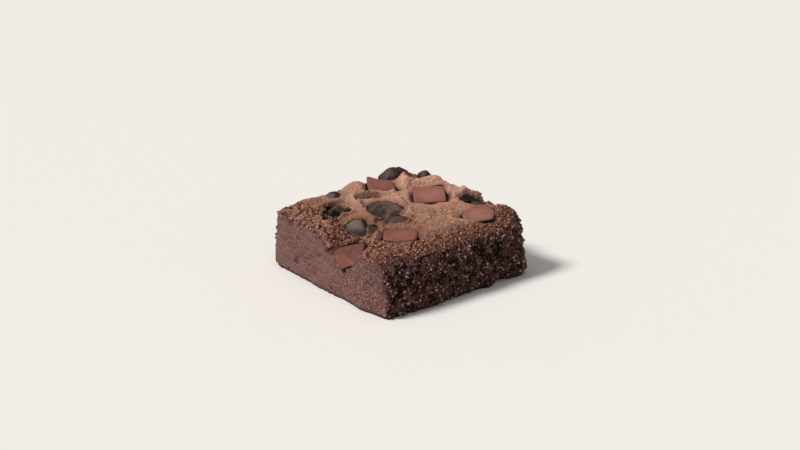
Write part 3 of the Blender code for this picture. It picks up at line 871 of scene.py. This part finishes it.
def baked_material(mottle, grain, pores):
    """The whole square: tan crust, smooth cut face and rough torn crumb."""
    material, tree, shader = new_material("baked_crumb_and_crust", 0.8, 0.3)
    place = place_node(tree)
    drawn = add_node(tree, "ShaderNodeVectorMath", {0: place, 1: (1.0, 0.35, 1.0)},
                     operation="MULTIPLY").outputs[0]
    crust, crumbly = kept_value(tree, "crust"), kept_value(tree, "crumbly")
    speckle, stain = kept_value(tree, "speckle"), kept_value(tree, "stain")
    relief, edge, hill = (kept_value(tree, name) for name in ("relief", "edge", "hill"))
    wrinkled, warm = kept_value(tree, "wrinkled"), kept_value(tree, "warm")
    small = use_group(tree, grain, Place=place, Size=0.40)
    tiny = use_group(tree, grain, Place=place, Size=0.26)
    coarse = use_group(tree, grain, Place=place, Size=1.1)
    pore = use_group(tree, pores, Place=place, Size=1.3, Radius=0.42)["Mask"]
    long_pore = use_group(tree, pores, Place=drawn, Size=0.9, Radius=0.42)["Mask"]
    patches = use_group(tree, mottle, Place=place, Size=9.0, Low=0.42, High=0.58)["Mask"]
    thin = use_group(tree, mottle, Place=place, Size=4.0, Low=0.50, High=0.66)["Mask"]
    cloud = use_group(tree, mottle, Place=place, Size=1.2, Low=0.34, High=0.66)["Mask"]
    streak = use_group(tree, mottle, Place=drawn, Size=1.4, Low=0.3, High=0.7)["Mask"]

    # Crust: painted highlight, pale and ruddy, on its folds, and painted shade, dark and red, in its
    # dips
    skin = mix(tree, calc(tree, "MULTIPLY", warm, 0.8), CRUST_TAN, CRUST_WARM)
    skin = mix(tree, calc(tree, "MULTIPLY", patches, 0.4), skin, CRUST_OLIVE)
    skin = mix(tree, calc(tree, "MULTIPLY", thin, 0.25), skin, CRUST_OCHRE)
    spotted = calc(tree, "MULTIPLY", wrinkled, 0.25)
    cloudy = calc(tree, "MULTIPLY", cloud, wrinkled)
    skin = mix(tree, calc(tree, "MULTIPLY", cloudy, 0.3), skin, CRUST_BROWN)
    specks = ramp(tree, tiny["Tone"], 0.45, 0.05)
    skin = mix(tree, calc(tree, "MULTIPLY", specks, wrinkled), skin, CRUST_BROWN)
    # Painted highlight on the folds' tops and painted shade in the dips, by their height
    lit = mix(tree, warm, CRUST_TAN, CRUST_PALE)
    skin = mix(tree, calc(tree, "MULTIPLY", ramp(tree, hill, 0.2, 1.0), 0.6), skin, lit)
    skin = mix(tree, calc(tree, "MULTIPLY", ramp(tree, hill, -0.2, -1.0), 0.7), skin, CRUST_RED)
    spots = calc(tree, "MULTIPLY", ramp(tree, coarse["Tone"], 0.62, 0.95), spotted)
    skin = mix(tree, spots, skin, CRUST_PALE)
    spots = calc(tree, "MULTIPLY", ramp(tree, coarse["Tone"], 0.36, 0.05), spotted)
    skin = mix(tree, spots, skin, CRUST_BROWN)
    skin = mix(tree, calc(tree, "MULTIPLY", pore, spotted), skin, CRUMB_BROWN)
    # Painted shade round the chocolate and in the valley, and the torn patch's browning
    browned = calc(tree, "MULTIPLY", kept_value(tree, "browned"), 0.6)
    skin = mix(tree, browned, skin, CRUST_RED)
    # Smooth cut face, speckled towards its front
    face = mix(tree, streak, CUT_MAUVE, CUT_DARK)
    face = mix(tree, 0.5, face, CUT_MAUVE)
    # Painted shade in the cut face's long pores
    face = mix(tree, calc(tree, "MULTIPLY", long_pore, 0.5), face, CRUMB_DARK)
    flecked = mix(tree, ramp(tree, tiny["Tone"], 0.38, 1.05), CUT_DARK, CUT_PALE)
    face = mix(tree, calc(tree, "MULTIPLY", speckle, 0.85), face, flecked)
    # Torn crumb, and the sandy crumb of the crust's edge
    crumb = mix(tree, coarse["Tone"], CRUMB_DARK, CRUMB_BROWN)
    flecks = ramp(tree, small["Tone"], 0.75, 1.0)
    crumb = mix(tree, calc(tree, "MULTIPLY", flecks, 0.4), crumb, CRUMB_FLECK)
    sandy = mix(tree, ramp(tree, small["Tone"], 0.25, 0.95), SAND_DARK, SAND_PALE)
    # Together
    whole = mix(tree, crumbly, face, crumb)
    sandy = mix(tree, browned, sandy, SAND_BROWN)
    toasted = mix(tree, crumbly, skin, sandy)
    whole = mix(tree, crust, whole, toasted)
    # Painted shade in the low places between the grains
    low = ramp(tree, relief, 0.05, -0.7)
    depth = calc(tree, "ADD", calc(tree, "MULTIPLY", crumbly, 0.5), 0.4, clamp=True)
    shade = mix(tree, ramp(tree, crust, 0.1, 0.6), CRUMB_DARK, SAND_DARK)
    whole = mix(tree, calc(tree, "MULTIPLY", low, depth), whole, shade)
    whole = mix(tree, calc(tree, "MULTIPLY", edge, 0.55), whole, CUT_PALE)
    # Painted shade in the cracks and hollows, darker towards the foot
    whole = mix(tree, stain, whole, SHADE_AND_MARK_DARK)
    tree.links.new(whole, shader.inputs["Base Color"])
    height = calc(tree, "MULTIPLY", small["Height"], calc(tree, "ADD", crumbly, 0.2))
    height = calc(tree, "SUBTRACT", height, calc(tree, "MULTIPLY", pore, 0.6))
    height = calc(tree, "ADD", height, cloud)
    add_bump(tree, shader, height, 0.28)
    return material


def loose_material(grain):
    """The scattered crumbs: dark brown with some tan ones, more of them on the crust."""
    material, tree, shader = new_material("loose_crumb", 0.65, 0.5)
    place = place_node(tree)
    tone, crust = kept_value(tree, "tone"), kept_value(tree, "crust")
    small = use_group(tree, grain, Place=place, Size=0.3)
    body = mix(tree, small["Tone"], CRUMB_DARK, CRUMB_BROWN)
    ruddy = mix(tree, small["Tone"], SAND_DARK, SAND_BROWN)
    body = mix(tree, ramp(tree, crust, 0.0, 0.4), body, ruddy)
    pale = ramp(tree, calc(tree, "ADD", tone, calc(tree, "MULTIPLY", crust, 0.5)), 0.68, 1.10)
    fleck = mix(tree, ramp(tree, crust, 0.0, 0.3), CRUMB_FLECK, SAND_PALE)
    colour = mix(tree, calc(tree, "MULTIPLY", pale, 0.9), body, fleck)
    tree.links.new(colour, shader.inputs["Base Color"])
    return material


def chocolate_material(name, colour, pale, deep, roughness, mottle, pores):
    """Chocolate with faint bloom in patches, a painted highlight on its middle, painted shade where
    the mesh keeps it, and a few small marks.
    """
    material, tree, shader = new_material(name, roughness, 0.2)
    place = place_node(tree)
    haze = use_group(tree, mottle, Place=place, Size=5.0, Low=0.35, High=0.65)["Mask"]
    fine = use_group(tree, mottle, Place=place, Size=0.8, Low=0.3, High=0.7)["Mask"]
    mark = use_group(tree, pores, Place=place, Size=2.6, Radius=0.2)["Mask"]
    # Bloom in patches, and the painted highlight on the middle
    bloom_and_painted_highlight = calc(tree, "ADD", calc(tree, "MULTIPLY", haze, 0.25),
                 calc(tree, "MULTIPLY", kept_value(tree, "heart"), 0.75), clamp=True)
    shown = mix(tree, bloom_and_painted_highlight, colour, pale)
    # Painted shade where the mesh keeps its deep value
    shown = mix(tree, kept_value(tree, "deep"), shown, deep)
    shown = mix(tree, calc(tree, "MULTIPLY", mark, 0.4), shown, SHADE_AND_MARK_DARK)
    tree.links.new(shown, shader.inputs["Base Color"])
    uneven = calc(tree, "ADD", calc(tree, "MULTIPLY", fine, 0.12), roughness - 0.06)
    tree.links.new(uneven, shader.inputs["Roughness"])
    height = calc(tree, "SUBTRACT", calc(tree, "MULTIPLY", fine, 0.4), mark)
    add_bump(tree, shader, height, 0.06)
    return material


# ------------------------------------------------------------------ the pieces

# Each scatter of loose crumbs: how close together, how many a square metre and how large
SCATTERS = {
    "crumbs_front": dict(Spacing=0.34e-3, Density=9.0e6, Smallest=0.13e-3, Largest=0.55e-3, Seed=1),
    "crumbs_top": dict(Spacing=0.36e-3, Density=7.0e6, Smallest=0.11e-3, Largest=0.36e-3, Seed=2),
    "crumbs_behind": dict(Spacing=0.42e-3, Density=5.5e6, Smallest=0.13e-3, Largest=0.48e-3, Seed=3),
    "crumbs_left": dict(Spacing=0.40e-3, Density=3.0e6, Smallest=0.09e-3, Largest=0.18e-3, Seed=4),
}


def add_piece(name, mesh, material, slot, *nodes):
    """A finished piece that rides on the one body and stands for its nodes."""
    mesh.materials.clear()
    mesh.materials.append(material)
    if nodes:
        mesh.shade_smooth()
    else:
        mesh.shade_flat()       # loose crumbs are sharp and rough
    piece = add_object(name, mesh)
    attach(piece, "root")
    if nodes:
        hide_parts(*nodes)
    return piece


mottle, grain, pores = mottle_group(), grain_group(), pore_group()
BAKED = baked_material(mottle, grain, pores)
LOOSE = loose_material(grain)
MILK_CHOCOLATE = chocolate_material("milk_chocolate_satin", MILK, MILK_PALE, MILK_PAINTED_SHADE, 0.62,
                                    mottle, pores)
DARK_CHOCOLATE = chocolate_material("dark_chocolate_sheen", DARK, DARK_PALE, DARK_PAINTED_SHADE, 0.48,
                                    mottle, pores)

chunks = {name: chocolate_mesh(name, 0.14, 0.03, 20 + index)
          for index, name in enumerate(CHUNKS)}
chips = {name: chocolate_mesh(name, 0.70, 0.30, 40 + index)
         for index, name in enumerate(CHIPS)}
surface = body_mesh(chunks, chips)
tree = crumb_tree()
for name, sizes in SCATTERS.items():
    mesh = scattered(tree, surface, name, LOOSE, Where=name, **sizes)
    add_piece(name, mesh, LOOSE, "crumb")
add_piece("baked_square", surface, BAKED, "crumb", "brownie")
for name, mesh in chunks.items():
    add_piece(name + "_piece", mesh, MILK_CHOCOLATE, "milk_chocolate", name)
for name, mesh in chips.items():
    add_piece(name + "_piece", mesh, DARK_CHOCOLATE, "dark_chocolate", name)

# ------------------------------------------------------------------ floor, light, camera

def add_floor():
    form = bmesh.new()
    bmesh.ops.create_grid(form, x_segments=1, y_segments=1, size=30.0)
    mesh = bpy.data.meshes.new("floor")
    form.to_mesh(mesh)
    form.free()
    material, tree, shader = new_material("pale_floor", 0.9, 0.2)
    shader.inputs["Base Color"].default_value = (0.72, 0.69, 0.67, 1.0)
    mesh.materials.append(material)
    add_object("floor", mesh)


def add_sun(name, towards, strength, softness, colour):
    """A soft light that shines along a direction."""
    light = bpy.data.lights.new(name, "SUN")
    light.energy = strength
    light.angle = radians(softness)
    light.color = colour
    lamp = add_object(name, light)
    lamp.rotation_mode = "QUATERNION"
    lamp.rotation_quaternion = Vector(towards).to_track_quat("-Z", "Y")


def add_world(strength):
    world = bpy.data.worlds.new("pale studio")
    world.use_nodes = True
    background = world.node_tree.nodes["Background"]
    background.inputs["Color"].default_value = (1.0, 0.98, 0.96, 1.0)
    background.inputs["Strength"].default_value = strength
    bpy.context.scene.world = world


def add_camera():
    """Looks down at the front corner from where the two cut sides both show."""
    aim = Vector((0, 0, 16.63)) * MM
    back = Vector((-0.5986, -0.7251, 0.3405)).normalized()
    camera = bpy.data.cameras.new("camera")
    camera.lens = 57.09
    camera.sensor_width = 36
    camera.clip_start = 0.01
    holder = add_object("camera", camera)
    holder.location = aim + back * 0.45
    holder.rotation_mode = "QUATERNION"
    holder.rotation_quaternion = (-back).to_track_quat("-Z", "Y")
    bpy.context.scene.camera = holder


add_floor()
add_sun("key", (0.62, -0.28, -0.73), 3.6, 16, (1.0, 0.985, 0.965))
add_sun("top light", (0.05, -0.10, -1.0), 0.45, 80, (1.0, 0.985, 0.965))
add_sun("fill", (0.35, 0.75, -0.55), 0.12, 60, (1.0, 0.985, 0.965))
add_world(0.24)
add_camera()
bpy.context.scene.view_settings.view_transform = "Standard"
